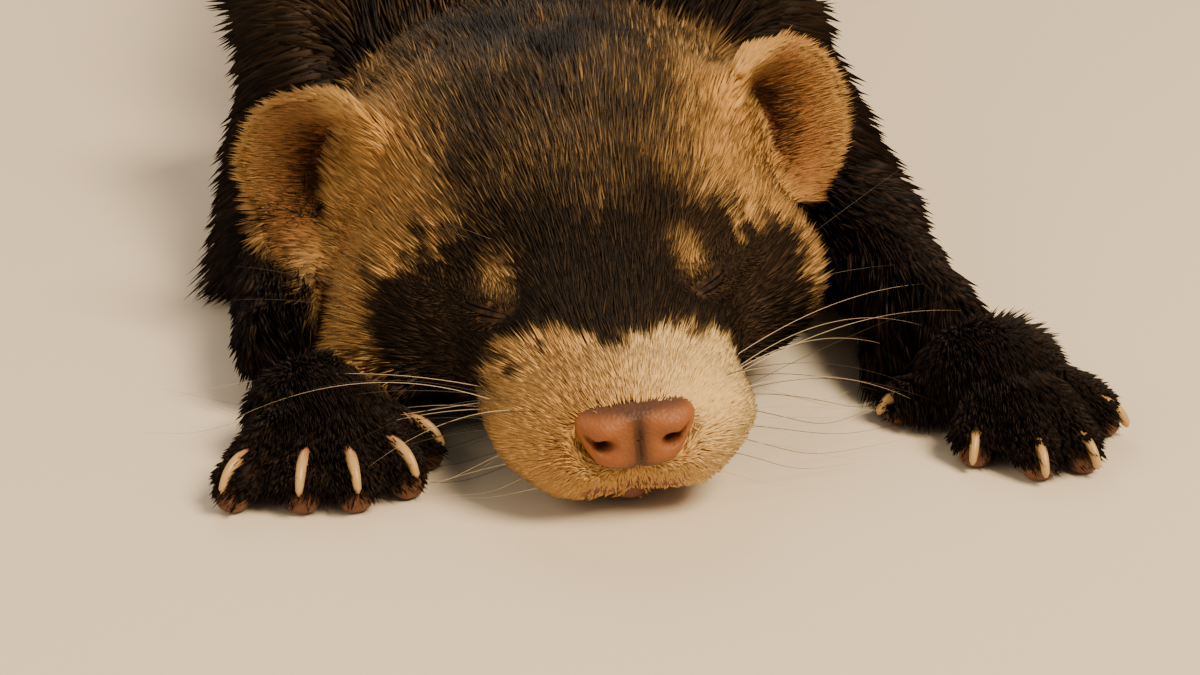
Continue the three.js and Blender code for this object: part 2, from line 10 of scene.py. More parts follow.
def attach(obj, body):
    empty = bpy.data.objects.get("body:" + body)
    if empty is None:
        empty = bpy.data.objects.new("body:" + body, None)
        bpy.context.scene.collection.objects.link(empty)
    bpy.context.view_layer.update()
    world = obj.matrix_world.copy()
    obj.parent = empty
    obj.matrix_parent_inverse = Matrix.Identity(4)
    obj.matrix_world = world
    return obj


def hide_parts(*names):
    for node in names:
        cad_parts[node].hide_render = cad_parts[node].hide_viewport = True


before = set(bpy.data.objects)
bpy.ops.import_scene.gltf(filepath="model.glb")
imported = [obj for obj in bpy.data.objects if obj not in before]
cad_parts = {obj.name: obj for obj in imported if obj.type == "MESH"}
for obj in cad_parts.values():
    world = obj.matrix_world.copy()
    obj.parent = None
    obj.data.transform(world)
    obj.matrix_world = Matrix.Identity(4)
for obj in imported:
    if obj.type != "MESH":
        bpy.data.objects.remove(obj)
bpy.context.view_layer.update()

MM = 0.001


# The camera
# It stands a quarter of a metre from the nose and looks down on the sleeping face, which is turned a
# little to the animal's left. A long lens keeps the muzzle from swelling.
NOSE_TIP = np.array([16.0, -120.0, 10.3]) * MM
CAMERA_BACK = 0.2219
CAMERA_ABOVE = 0.1016
LOOK_DOWN = math.radians(22.4)
LOOK_ASIDE = math.radians(0.88)

lens = bpy.data.cameras.new("camera")
lens.lens = 78
lens.sensor_width = 36
lens.clip_start = 0.01
camera = bpy.data.objects.new("camera", lens)
camera.location = Vector(NOSE_TIP) + Vector((0, -CAMERA_BACK, CAMERA_ABOVE))
gaze = Vector((
    -math.sin(LOOK_ASIDE) * math.cos(LOOK_DOWN),
    math.cos(LOOK_ASIDE) * math.cos(LOOK_DOWN),
    -math.sin(LOOK_DOWN),
))
camera.rotation_mode = "QUATERNION"
camera.rotation_quaternion = gaze.to_track_quat("-Z", "Y")
bpy.context.scene.collection.objects.link(camera)
bpy.context.scene.camera = camera


# The skin
# One skin of thin, loose hide runs over the whole animal, without a seam. It is the outside of the body
# solids, joined and smoothed, less the depth of the coat that stands on it.
HEAD_TURN = math.radians(10)
HEAD_TIP = math.radians(-3.7)
head_frame = (
    Matrix.Translation(NOSE_TIP) @ Matrix.Rotation(HEAD_TURN, 4, "Z") @ Matrix.Rotation(HEAD_TIP, 4, "Y")
)
head_axes = np.array(head_frame)[:3, :3]


def to_head(points):
    """Places in the head's own frame, in millimetres: left, back from the nose, up."""
    return (points - NOSE_TIP) @ head_axes / MM


def from_head(*place):
    """A place given in the head's own frame, in millimetres, as metres in the row frame."""
    return np.array(head_frame @ Vector(np.array(place, float) * MM))


FLESH = sorted(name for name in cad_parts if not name.startswith(("claw", "nose")))
BODY = [*FLESH, "nose"]
VOXEL = 0.95 * MM


def mesh_arrays(mesh):
    """A mesh's points, and the corners of its triangles."""
    places = np.empty(len(mesh.vertices) * 3, np.float32)
    mesh.vertices.foreach_get("co", places)
    mesh.calc_loop_triangles()
    corners = np.empty(len(mesh.loop_triangles) * 3, np.int32)
    mesh.loop_triangles.foreach_get("vertices", corners)
    return places.reshape(-1, 3).astype(float), corners.reshape(-1, 3)


def new_mesh(name, places, corners):
    mesh = bpy.data.meshes.new(name)
    mesh.vertices.add(len(places))
    mesh.vertices.foreach_set("co", np.asarray(places, np.float32).ravel())
    mesh.loops.add(corners.size)
    mesh.loops.foreach_set("vertex_index", np.asarray(corners, np.int32).ravel())
    mesh.polygons.add(len(corners))
    mesh.polygons.foreach_set("loop_start", np.arange(0, corners.size, corners.shape[1], dtype=np.int32))
    mesh.polygons.foreach_set("use_smooth", np.full(len(corners), True))
    mesh.update(calc_edges=True)
    return mesh


def shown(name, mesh):
    piece = bpy.data.objects.new(name, mesh)
    bpy.context.scene.collection.objects.link(piece)
    return piece


def stack(parts):
    """The points and corners of several meshes as those of one."""
    starts = np.cumsum([0] + [len(places) for places, _ in parts])
    corners = [faces + start for (_, faces), start in zip(parts, starts)]
    return np.concatenate([places for places, _ in parts]), np.concatenate(corners)


# Toes: five to a foot, each a bent finger from the ball of the foot to the pad under its claw
PALMS = {
    "fore_left": (53, -91, 5.4),
    "fore_right": (-15.5, -101, 5.4),
    "hind_left": (50.1, 142.4, 5.4),
    "hind_right": (-47.9, 142.4, 5.4),
}
TOE = 2.25
BALL_UP, KNUCKLE_UP, PAD_UP = 5.2, 5.0, 2.5
BALL_HALF = np.array([6.8, 7.6, 4.3])
BALL_DROP = 0.9


class Toe:
    """Where one toe runs: ball of the foot, knuckle, pad, and the claw above the pad."""

    def __init__(self, foot, number):
        self.foot = foot
        self.node = f"claw_{foot}_{number}"
        horn = mesh_arrays(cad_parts[self.node].data)[0] / MM
        order = horn[:, 2].argsort()
        self.tip = horn[order[:4]].mean(0)
        ball = np.array(PALMS[foot], float)
        way = (self.tip - ball) * [1, 1, 0]
        self.length = np.linalg.norm(way)
        self.way = way / self.length
        self.across = np.array([-self.way[1], self.way[0], 0])
        self.ball = self.at(2.5 - self.length, BALL_UP)
        self.knuckle = self.at(max(-10, 2 - self.length), KNUCKLE_UP)
        self.pad = self.at(-4.4 + 0.6 * self.tip[2], PAD_UP)

    def at(self, along, up):
        """The place so far ahead of the claw's tip and so high above the floor."""
        place = self.tip + along * self.way
        place[2] = up
        return place


toes_of = {foot: [Toe(foot, number) for number in range(1, 6)] for foot in PALMS}
toes = [toe for own in toes_of.values() for toe in own]


def from_bone(points, start, end, thick_start, thick_end):
    """How far points lie outside a straight bone with round ends."""
    run = end - start
    t = np.clip(((points - start) @ run) / (run @ run), 0, 1)
    thick = thick_start + t * (thick_end - thick_start)
    return np.linalg.norm(points - start - t[:, None] * run, axis=1) - thick


def from_feet(points):
    """How far points lie outside the toes and the balls of the feet."""
    gaps = []
    for toe in toes:
        gaps.append(from_bone(points, toe.ball, toe.knuckle, TOE + 0.2, TOE))
        gaps.append(from_bone(points, toe.knuckle, toe.pad, TOE, TOE - 0.2))
    for ball in PALMS.values():
        off = (points - ball + [0, 0, BALL_DROP]) / BALL_HALF
        gaps.append((np.linalg.norm(off, axis=1) - 1) * BALL_HALF[2])
    return np.min(gaps, axis=0)


def angles(rows, columns, short):
    """Angles down from a pole and around it, on rows that stop a little short of both poles."""
    down = np.linspace(short, math.pi - short, rows)
    around = np.linspace(0, 2 * math.pi, columns, endpoint=False)
    return np.meshgrid(down, around, indexing="ij")


def ring_faces(rows, columns):
    """Triangles that join rings of points in rows, with one more point to close each end."""
    grid = np.arange(rows * columns).reshape(rows, columns)
    a, b = grid[:-1], grid[1:]
    sides = np.stack([a, b, np.roll(b, -1, 1), np.roll(a, -1, 1)], -1).reshape(-1, 4)
    caps = [
        np.stack([np.full(columns, rows * columns), grid[0], np.roll(grid[0], -1)], 1),
        np.stack([np.full(columns, rows * columns + 1), np.roll(grid[-1], -1), grid[-1]], 1),
    ]
    return np.concatenate([sides[:, [0, 1, 2]], sides[:, [0, 2, 3]], *caps])


def ball_mesh(rows, columns, shape):
    """A closed ball of rows and columns, each point put where shape says."""
    v, h = angles(rows, columns, 0.03)
    ball = np.stack([np.sin(v) * np.cos(h), np.sin(v) * np.sin(h), np.cos(v)], -1).reshape(-1, 3)
    places = np.concatenate([shape(ball), shape(np.array([[0, 0, 1.0], [0, 0, -1.0]]))])
    return places, ring_faces(rows, columns)


def finger(start, end, thick):
    """A closed bone with round ends; its sizes are in millimetres."""

    def shape(ball):
        return (np.where((ball @ (end - start))[:, None] < 0, start, end) + thick * ball) * MM

    return ball_mesh(12, 20, shape)


FLESH_OVER_TOE = 1.1
body_parts = [mesh_arrays(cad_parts[name].data) for name in BODY]
body_places, body_corners = stack(body_parts)
body_owner = np.repeat(np.arange(len(BODY)), [len(faces) for _, faces in body_parts])
fingers = []
for toe in toes:
    for start, end in ((toe.ball, toe.knuckle), (toe.knuckle, toe.pad)):
        fingers.append(finger(start, end, TOE + FLESH_OVER_TOE))
block = shown("block", new_mesh("block", *stack([(body_places, body_corners), *fingers])))
remesh = block.modifiers.new("remesh", "REMESH")
remesh.mode = "VOXEL"
remesh.voxel_size = VOXEL
melted = bpy.data.meshes.new_from_object(block.evaluated_get(bpy.context.evaluated_depsgraph_get()))
bpy.data.objects.remove(block)
skin, _ = mesh_arrays(melted)
quads = np.empty(len(melted.loops), np.int32)
melted.loops.foreach_get("vertex_index", quads)
quads = quads.reshape(-1, 4)

# Which solid each point of the skin belongs to
body_tree = BVHTree.FromPolygons(body_places.tolist(), body_corners.tolist())
node_of = np.array([body_owner[body_tree.find_nearest(Vector(p))[2]] for p in skin])
is_in = {name: node_of == number for number, name in enumerate(BODY)}


def over(*starts):
    """1 on the skin of the solids whose names start so, 0 elsewhere."""
    found = [is_in[name] for name in BODY if name.startswith(starts)]
    return sum(found, np.zeros(len(skin), bool)).astype(float)


quad_sides = np.concatenate([quads[:, [k, (k + 1) % 4]] for k in range(4)])
edges = np.unique(np.sort(quad_sides, 1), axis=0)
degree = np.bincount(edges.ravel(), minlength=len(skin)).astype(float)


def relaxed(values, rounds, share=0.5):
    """Values at the skin's points, each drawn towards its neighbours' mean a number of times."""
    values = np.array(values, float)
    flat = values.reshape(len(skin), -1)
    share = np.broadcast_to(np.asarray(share, float), len(skin))
    for _ in range(rounds):
        for k in range(flat.shape[1]):
            column = flat[:, k]
            total = np.bincount(edges[:, 0], column[edges[:, 1]], len(skin))
            total += np.bincount(edges[:, 1], column[edges[:, 0]], len(skin))
            flat[:, k] = column + share * (total / degree - column)
    return flat.reshape(values.shape)


def normals_of(places):
    """Which way is out at each of the skin's points, when they lie at these places."""
    a, b = places[quads[:, 2]] - places[quads[:, 0]], places[quads[:, 3]] - places[quads[:, 1]]
    across = np.cross(a, b)
    total = np.zeros_like(places)
    for k in range(4):
        for axis in range(3):
            total[:, axis] += np.bincount(quads[:, k], across[:, axis], len(places))
    return total / np.maximum(np.linalg.norm(total, axis=1, keepdims=True), 1e-12)


def ramp(low, high, value):
    """0 at low, 1 at high, and a smooth rise between."""
    t = np.clip((value - low) / (high - low), 0, 1)
    return t * t * (3 - 2 * t)


fine = over("ear", "eyelid", "forepaw", "hindpaw", "head", "jaw", "nose")
skin = relaxed(skin, 5, 0.5)
skin = relaxed(skin, 45, 0.5 * (1 - relaxed(fine, 12)))
local = to_head(skin)
back = local[:, 1]
DEPTHS = {
    "ear": 0.3, "neck": 4.0, "chest": 5.0, "belly": 5.0, "rump": 5.0, "upper_arm": 3.2,
    "forearm_": 1.8, "forepaw": 0.9, "thigh": 4.5, "hindpaw": 0.9,
}
head_depth = np.interp(back, [0, 8, 16, 26, 40, 60], [0.7, 0.9, 1.2, 1.9, 2.6, 3.4])
tail_depth = np.interp(skin[:, 1] - skin[:, 1].max(), [-45 * MM, -5 * MM], [4.0, 1.6])
depth = over("head", "jaw", "eyelid", "nose") * head_depth + over("tail") * tail_depth
depth += sum(deep * over(start) for start, deep in DEPTHS.items())
depth = relaxed(depth, 20)
skin = skin - normals_of(relaxed(skin, 3)) * (depth * MM)[:, None]

# The muzzle narrows towards the lips, a little more on the side that the head leans away from
local = to_head(skin)
narrow = ramp(0, -8.5, local[:, 2]) * ramp(22, 12, local[:, 1]) * np.where(local[:, 0] > 0, 0.24, 0.27)
narrow *= relaxed(over("head", "jaw", "nose"), 3)
skin -= (local[:, 0] * narrow * MM)[:, None] * head_axes[:, 0]

# The front of each foot is drawn on to its toes and the ball of the foot
FOOT_ROUNDS = 4
FOOT_LENGTH = 40
on_foot = relaxed(over("forepaw", "hindpaw"), 4)
feet = on_foot > 0.05
for _ in range(FOOT_ROUNDS):
    points = skin[feet] / MM
    gap = from_feet(points)
    step = 0.05
    slope = np.stack([from_feet(points + step * axis) - gap for axis in np.eye(3)], 1) / step
    slope /= np.maximum(np.linalg.norm(slope, axis=1, keepdims=True), 1e-6)
    to_palm = np.min([np.linalg.norm((points - ball)[:, :2], axis=1) for ball in PALMS.values()], axis=0)
    front = np.max([(points - PALMS[toe.foot]) @ toe.way for toe in toes], axis=0)
    share = on_foot[feet] * ramp(-7, 4, front) * (to_palm < FOOT_LENGTH)
    skin[feet] -= (np.clip(gap, -1.2, 2.0) * 0.8 * share)[:, None] * slope * MM
    eased = relaxed(skin, 1, 0.35 * on_foot)
    skin[feet] = eased[feet]

# The hollow of each ear is deepest beside the head, in front of the ear's opening
EAR_SIDES = {"left": 1, "right": -1}
EAR_MIDDLE = np.array([24.6, 49.0, 12.0])
EAR_FACING = np.array([0.62, -0.76, 0.18])
FACING_LENGTH = 0.997
EAR_DENT = 2.0
hollow, warm = np.zeros(len(skin)), np.zeros(len(skin))
local = to_head(skin)
for name, sign in EAR_SIDES.items():
    facing = EAR_FACING * [sign, 1, 1]
    facing /= np.linalg.norm(facing)
    off = local - EAR_MIDDLE * [sign, 1, 1]
    ahead = off @ facing
    inward = np.cross(facing, [0, 0, 1]) * sign
    inward /= np.linalg.norm(inward)
    upward = np.cross(inward, facing)
    aside, above = off @ inward, off @ upward * np.sign(upward[2])
    near = np.hypot((aside + 1.9) / 3.9, (above + 0.4) / 6.2)
    opening = (ahead < 3.5) * (ahead > -6.5) * relaxed(over(f"ear_{name}"), 2)
    hollow += ramp(1.4, 0.4, near) * opening
    warm += ramp(1.75, 1.0, near) * opening
hollow, warm = np.clip(relaxed(hollow, 2), 0, 1), np.clip(relaxed(warm, 2), 0, 1)
for sign in EAR_SIDES.values():
    facing = head_axes @ (EAR_FACING * [sign, 1, 1] / FACING_LENGTH)
    own_hollow = hollow * (local[:, 0] * sign > 0)
    skin -= facing * (EAR_DENT * own_hollow * MM)[:, None]

# The skin sinks behind the bare leather of the nose, and folds in along the mouth
side, back, up = np.abs(local[:, 0]), local[:, 1], local[:, 2]
under_leather = np.exp(-(((side - 3.1) / 1.5) ** 2) - (((up + 1.2) / 1.3) ** 2)) * ramp(4, 2.5, back)
skin += (head_axes @ [0, 4.2, 0]) * (np.clip(1.4 * under_leather, 0, 1) * MM)[:, None]
mouth = np.clip(3.4 * relaxed(over("jaw"), 2) * relaxed(over("head"), 2), 0, 1) * ramp(30, 20, back)
skin -= normals_of(skin) * (0.7 * mouth * MM)[:, None]
skin[:, 2] = np.maximum(skin[:, 2], 0.15 * MM)
skin = relaxed(skin, 1, 0.5 * (1 - under_leather))
outward = normals_of(skin)
local = to_head(skin)
side, back, up = np.abs(local[:, 0]), local[:, 1], local[:, 2]


# The markings
# A sable ferret: pale muzzle, a dark mask through the eyes with a pale fleck above each inner corner, a
# cream band across cheeks and temples, a grizzled crown and back, and near-black legs and tail.
def ripple(points, size, seed):
    """A smooth unevenness between about -1 and 1 that repeats at no short distance."""
    turns = np.random.default_rng(seed).normal(size=(9, 3))
    turns /= np.linalg.norm(turns, axis=1, keepdims=True)
    phases = np.random.default_rng(seed + 1).uniform(0, 6.3, 9)
    waves = points @ turns.T * (2 * math.pi / size) * np.linspace(0.6, 1.9, 9) + phases
    return np.sin(waves).sum(1) / 4.2


# Where the slit between the shut lids of the left eye starts and ends, in the head's own frame, how far
# it sags, and which way the lids rise from it
SLIT_INNER = np.array([9.7, 17.2, 6.9])
SLIT_OUTER = np.array([16.8, 25.2, 8.0])
SLIT_SAG = 0.9
LID_RISE = np.array([0.3, 0.5, 0.8])


def from_slit(points):
    """Millimetres from the nearer slit between the lids, for places in the head's own frame."""
    mirror = np.where(points[:, :1] < 0, [-1, 1, 1], [1, 1, 1])
    mirrored = points * mirror
    run = SLIT_OUTER - SLIT_INNER
    t = np.clip(((mirrored - SLIT_INNER) @ run) / (run @ run), 0, 1)
    sag = SLIT_SAG * 4 * t * (1 - t)
    off = mirrored - SLIT_INNER - t[:, None] * run + sag[:, None] * LID_RISE
    return np.linalg.norm(off, axis=1), off * mirror


def markings(points, shares):
    """How dark and how pale the coat is at places on the skin, given each region's share there; the pale
    muzzle also carries painted light, paler towards its left side and top where the key light falls.
    """
    at = to_head(points)
    x, t, z = at.T
    s = np.abs(x)
    rough = ripple(at, 5, 11) + 0.7 * ripple(at, 2.2, 17)
    muzzle_end = np.interp(s, [0, 2, 4, 8, 11, 14], [8.0, 8.9, 10.7, 11.2, 12.8, 12.0]) - 0.07 * x
    behind_muzzle = ramp(muzzle_end - 0.5, muzzle_end + 0.9, t + 0.75 * rough)
    flecks = ripple(at, 3.4, 31) + 0.5 * ripple(at, 1.5, 37)
    flecked = ramp(7.2, 9, t) * ramp(-3, -6, x + rough) * ramp(-2, 0, z) * ramp(-14, -12.5, x)
    behind_muzzle = np.maximum(behind_muzzle, 0.9 * ramp(0.2, 0.6, flecks) * flecked)
    middle = ramp(11, 6, s)
    mask_end = 22.0 + 0.36 * s + 5 * ramp(3, -4, z)
    in_mask = 1 - ramp(mask_end - 0.5 - middle, mask_end + 1.8 + 6 * middle, t + 1.1 * rough)
    in_mask = in_mask * (1 - ramp(19.4, 21.6, s + 0.8 * rough) * ramp(-3, 1, z))
    temples = ramp(9, 15.5, s + 1.2 * rough)
    crown = 0.85 + 0.1 * ramp(42, 56, t) + 0.12 * ripple(at, 13, 41)
    temple = 0.05 + 0.55 * ramp(46, 58, t)
    head = in_mask * 0.985 + (1 - in_mask) * (crown * (1 - temples) + temple * temples)
    fleck = np.exp(-(((s - 9.6) / 1.7) ** 2) - ((t - 20.3) / 1.5) ** 2 - ((z - 9.6) / 1.9) ** 2)
    head = behind_muzzle * head * (1 - 0.75 * np.clip(1.5 * fleck, 0, 1))
    head = np.maximum(head, 0.7 * ramp(46, 58, t) * ramp(6, -4, z))
    head = np.maximum(head, 0.98 * ramp(1.6, 0.9, from_slit(at)[0]))
    along = points[:, 1] / MM
    shoulders = ramp(35, -45, along)
    trunk = 0.68 + 0.29 * shoulders + 0.14 * ramp(140, 200, along) + 0.05 * ripple(points / MM, 30, 23)
    trunk -= 0.16 * ramp(30, 12, points[:, 2] / MM) * (1 - shoulders)
    trunk = np.maximum(trunk, 0.97 * ramp(186, 216, along))
    dark = (
        shares["head"] * head + shares["ear"] * 0.06 + shares["trunk"] * trunk
        + shares["legs"] * 1.0 + shares["tail"] * 0.96
    )
    # The muzzle's real pale colour with painted light on it: paler from its right side to its left and
    # towards the top, where the key light falls
    white = shares["head"] * (1 - behind_muzzle) * (0.1 + 0.85 * ramp(-3, 8, x + 0.6 * z))
    return np.clip(dark, 0, 1), np.clip(white, 0, 1)


# The solids of each region, after the number of rounds by which it blends into the next
REGIONS = {
    "head": (3, "head", "jaw", "eyelid", "nose"),
    "ear": (3, "ear"),
    "trunk": (30, "neck", "chest", "belly", "rump", "thigh"),
    "legs": (30, "upper_arm", "forearm", "forepaw", "hindpaw"),
    "tail": (3, "tail"),
}
label = {region: relaxed(over(*starts), rounds) for region, (rounds, *starts) in REGIONS.items()}
all_shares = sum(label.values())
label = {region: share / all_shares for region, share in label.items()}
dark, white = markings(skin, label)


# How each finish is made: sockets that take part in sums, and one call for any node
class Wire:
    def __init__(self, finish, socket):
        self.finish = finish
        self.socket = socket

    def _sum(self, operation, first, second):
        return self.finish.node("ShaderNodeMath", {"operation": operation}, {0: first, 1: second})

    def __add__(self, other):
        return self._sum("ADD", self, other)

    def __radd__(self, other):
        return self._sum("ADD", other, self)

    def __sub__(self, other):
        return self._sum("SUBTRACT", self, other)

    def __rsub__(self, other):
        return self._sum("SUBTRACT", other, self)

    def __mul__(self, other):
        return self._sum("MULTIPLY", self, other)

    def __rmul__(self, other):
        return self._sum("MULTIPLY", other, self)

    def __pow__(self, other):
        return self._sum("POWER", self, other)

    def within(self):
        return self.finish.node("ShaderNodeClamp", {}, {"Value": self})


class Finish:
    def __init__(self, name):
        self.material = bpy.data.materials.new(name)
        self.material.use_nodes = True
        self.tree = self.material.node_tree
        self.shader = self.tree.nodes["Principled BSDF"]

    def node(self, kind, settings, sockets, output=0):
        made = self.tree.nodes.new(kind)
        for key, value in settings.items():
            setattr(made, key, value)
        for key, value in sockets.items():
            self.feed(made.inputs[key], value)
        return Wire(self, made.outputs[output])

    def feed(self, socket, value):
        if isinstance(value, Wire):
            self.tree.links.new(value.socket, socket)
        elif hasattr(value, "__len__") and len(value) == 3 and socket.type == "RGBA":
            socket.default_value = (*value, 1)
        else:
            socket.default_value = value

    def set(self, **sockets):
        for key, value in sockets.items():
            self.feed(self.shader.inputs[key.replace("_", " ")], value)

    def noise(self, scale, detail=3.0):
        place = self.node("ShaderNodeTexCoord", {}, {}, "Object")
        return self.node("ShaderNodeTexNoise", {}, {"Vector": place, "Scale": scale, "Detail": detail})

    def mix(self, share, first, second):
        return self.node("ShaderNodeMix", {"data_type": "RGBA"}, {0: share, 6: first, 7: second}, 2)

    def value(self, name):
        return self.node("ShaderNodeAttribute", {"attribute_name": name}, {}, "Fac")

    def bump(self, height, distance, strength):
        sockets = {"Height": height, "Distance": distance, "Strength": strength}
        self.feed(self.shader.inputs["Normal"], self.node("ShaderNodeBump", {}, sockets))


CREAM = (0.55, 0.295, 0.085)
PALE = (0.84, 0.63, 0.30)
UMBER = (0.012, 0.007, 0.005)
PINK = (0.40, 0.17, 0.11)
SHADED_LIP = (0.20, 0.085, 0.065)
MOUTH_SHADE = (0.05, 0.018, 0.014)
EAR_WARM = (0.40, 0.17, 0.065)
EAR_HOLLOW_SHADE = (0.035, 0.013, 0.008)

hide = Finish("hide")
# Pale hide on the muzzle, with its painted light
hide_tone = hide.mix(hide.value("white"), CREAM, PALE)
hide_dark = (hide.value("dark") + 0.3 * (hide.noise(900) - 0.5)).within()
hide_colour = hide.mix(hide_dark, hide.mix(0.2, hide_tone, PINK), UMBER)
# The lower lip's pink skin, painted darker as shade under the muzzle
hide_colour = hide.mix(hide.value("lip"), hide_colour, SHADED_LIP)
# Painted shade: a dark line along the mouth, where the skin folds in between head and jaw
hide_colour = hide.mix(hide.value("mouth") ** 2.0, hide_colour, MOUTH_SHADE)
hide_colour = hide.mix(hide.value("warm"), hide_colour, EAR_WARM)
# Painted shade: the hide in each ear's hollow is near black
hide_colour = hide.mix(hide.value("hollow"), hide_colour, EAR_HOLLOW_SHADE)
hide.set(Base_Color=hide_colour, Roughness=0.75, Specular_IOR_Level=0.15)
hide.bump(hide.noise(1600, 2), 0.0003, 0.6)


def give_values(mesh, values):
    """Named numbers for each of a mesh's points, which its finish reads."""
    for name, numbers in values.items():
        column = mesh.attributes.new(name, "FLOAT", "POINT")
        column.data.foreach_set("value", np.asarray(numbers, np.float32))


hide_mesh = new_mesh("skin", skin, quads)
# The lower lip under the nose and along the mouth: its hide is painted darker as shade, and few tufts grow
# on it
lip = np.maximum(ramp(12, 8, back) * ramp(-4.9, -5.9, up) * ramp(6.2, 4.4, side), 0.6 * mouth)
hide_values = {"dark": dark, "white": white, "hollow": hollow, "warm": warm, "lip": lip, "mouth": mouth}
give_values(hide_mesh, hide_values)
hide_mesh.materials.append(hide.material)
skin_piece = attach(shown("skin", hide_mesh), "root")
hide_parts(*FLESH)


# The lie of the coat
# Hair grows back from the nose over the head and trunk, down each leg to the toes, outwards over the
# ears and along the tail, and each hair leans between these where two of them meet.
def unit(vectors):
    return vectors / np.maximum(np.linalg.norm(vectors, axis=-1, keepdims=True), 1e-12)


LIE = {
    "neck": (0, 1, -0.1),
    "chest": (0, 1, -0.22),
    "belly": (0, 1, -0.22),
    "rump": (0.05, 1, -0.25),
    "upper_arm_left": (24, -8, -18),
    "forearm_left": (14, -41, -5),
    "upper_arm_right": (-20, -10, -18),
    "forearm_right": (6, -46, -3),
    "thigh_left": (0.35, 0.2, -0.8),
    "thigh_right": (-0.35, 0.2, -0.8),
}
lie = np.zeros_like(skin)
from_nose = (local - [0, -5, -1]) * [1.0, 0.95, 0.9]
from_ear_root = (local - [0, 50, 6]) * [1, 0.4, 1]
tail_hide = mesh_arrays(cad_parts["tail"].data)[0]
tail_line = np.polyfit(tail_hide[:, 1], tail_hide[:, 0], 4)
tail_bend = np.polyder(tail_line)
tail_end = tail_hide[:, 1].max()


def down_the_foot(foot, points):
    """The lie of hair on a foot: along the foot, then spreading towards each toe."""
    own = toes_of[foot]
    main = unit(np.mean([toe.way for toe in own], axis=0))
    near = np.array([np.exp(-from_bone(points, toe.knuckle, toe.pad, TOE, TOE)) for toe in own])
    spread = unit(near.T @ np.array([toe.way for toe in own]))
    share = ramp(2, 11, (points - PALMS[foot]) @ main)[:, None]
    return unit(main * (1 - share) + spread * share - [0, 0, 0.3])


for name, mask in is_in.items():
    if name.startswith("ear"):
        lie[mask] = from_ear_root[mask] @ head_axes.T
    elif "paw" in name:
        lie[mask] = down_the_foot(name.replace("paw", ""), skin[mask] / MM)
    elif name == "tail":
        turn = np.polyval(tail_bend, skin[mask, 1])
        aside = np.polyval(tail_line, skin[mask, 1]) - skin[mask, 0]
        to_middle = np.stack([aside, 0 * turn, 5 * MM - skin[mask, 2]], 1)
        gather = ramp(tail_end - 30 * MM, tail_end, skin[mask, 1])[:, None] * to_middle / (9 * MM)
        lie[mask] = unit(np.stack([turn, np.ones_like(turn), 0 * turn], 1) + gather)
    elif name in LIE:
        lie[mask] = LIE[name]
    else:
        lie[mask] = from_nose[mask] @ head_axes.T
lie = unit(lie)

# On the muzzle's side of the wrist that reaches out, long hair hangs to the floor
WRIST = [41, -80, 4]
to_wrist = np.linalg.norm((skin / MM - WRIST) / [8, 11, 8], axis=1)
inside_wrist = np.exp(-(to_wrist**2)) * over("forearm_left", "forepaw_left")
lie = relaxed(lie - 0.9 * inside_wrist[:, None] * [1, 0.15, 0.5], 14)


# The coat
# Soft underfur and longer guard hairs. Each tuft is a closed sliver that leaves the skin, bends over
# and tapers to a point, and neighbours lean together into locks.
SHADED_GOLD = (0.29, 0.18, 0.07)
SABLE = (0.006, 0.0036, 0.0028)
BROWN_SABLE = (0.028, 0.014, 0.008)
STRAW = (0.80, 0.57, 0.25)
EAR_HAIR = (0.36, 0.15, 0.05)

# How long the hair is, how many tufts stand on a square millimetre, and how wide and how upright they are
foot_reach = np.zeros(len(skin))
for foot in PALMS:
    mask = is_in[foot.replace("_", "paw_")]
    to_claw = np.min([np.linalg.norm(skin[mask] / MM - toe.tip, axis=1) for toe in toes_of[foot]], axis=0)
    foot_reach[mask] = np.interp(to_claw, [4, 8, 13, 20, 26], [1.6, 2.8, 4.6, 6.0, 6.5])
reach = (
    label["head"] * np.interp(back, [0, 4, 8, 12, 20, 32, 50], [1.0, 2.4, 3.6, 4.2, 4.4, 6.0, 7.6])
    + label["ear"] * 3.0 + 12.5 * label["trunk"] + 13 * label["tail"]
    + 9.5 * over("upper_arm") + 7.5 * over("forearm_") + foot_reach
)
reach = relaxed(np.where(over("neck") > 0, 9.5, reach), 12)
reach += 6 * relaxed(inside_wrist, 4)
body = over("neck", "chest", "upper_arm", "forearm_", "thigh")
reach = relaxed(reach, 50, 0.5 * relaxed(body, 4))
per_mm2 = (
    label["head"] * np.interp(back, [0, 10, 25, 45], [54, 38, 26, 17]) + 27 * label["ear"]
    + 2.5 * label["trunk"] + 7 * over("upper_arm") + 8.5 * over("forearm_") + 15 * over("forepaw")
    + 6.5 * over("hindpaw") + 3.8 * label["tail"]
)
per_mm2 = relaxed(np.where(over("neck") > 0, 6.0, per_mm2), 6)
per_mm2[(skin[:, 2] < 1.6 * MM) & (outward[:, 2] < -0.5)] = 0.0
leather_front = (back < 1.9) & (side < 5.6 + 0.35 * up) & (up > -4.2) & (up < 3.4)
per_mm2[is_in["nose"] & leather_front] = 0.0
per_mm2 *= (1 - 0.93 * lip) * (1 - 0.82 * ramp(0.3, 0.9, hollow))
thickness = relaxed(np.interp(reach, [1, 3, 5, 7, 12], [0.10, 0.115, 0.12, 0.14, 0.36]), 4)
thickness = np.minimum(thickness, 0.17 + 0.15 * ramp(-30, 60, skin[:, 1] / MM))
stand = np.degrees(np.arcsin(np.clip(1.05 * depth / np.maximum(reach, 1), 0.1, 0.5)))
near_tail_end = ramp(tail_end - 32 * MM, tail_end - 6 * MM, skin[:, 1])
stand *= (1 - 0.3 * label["head"]) * (1 - 0.75 * near_tail_end)

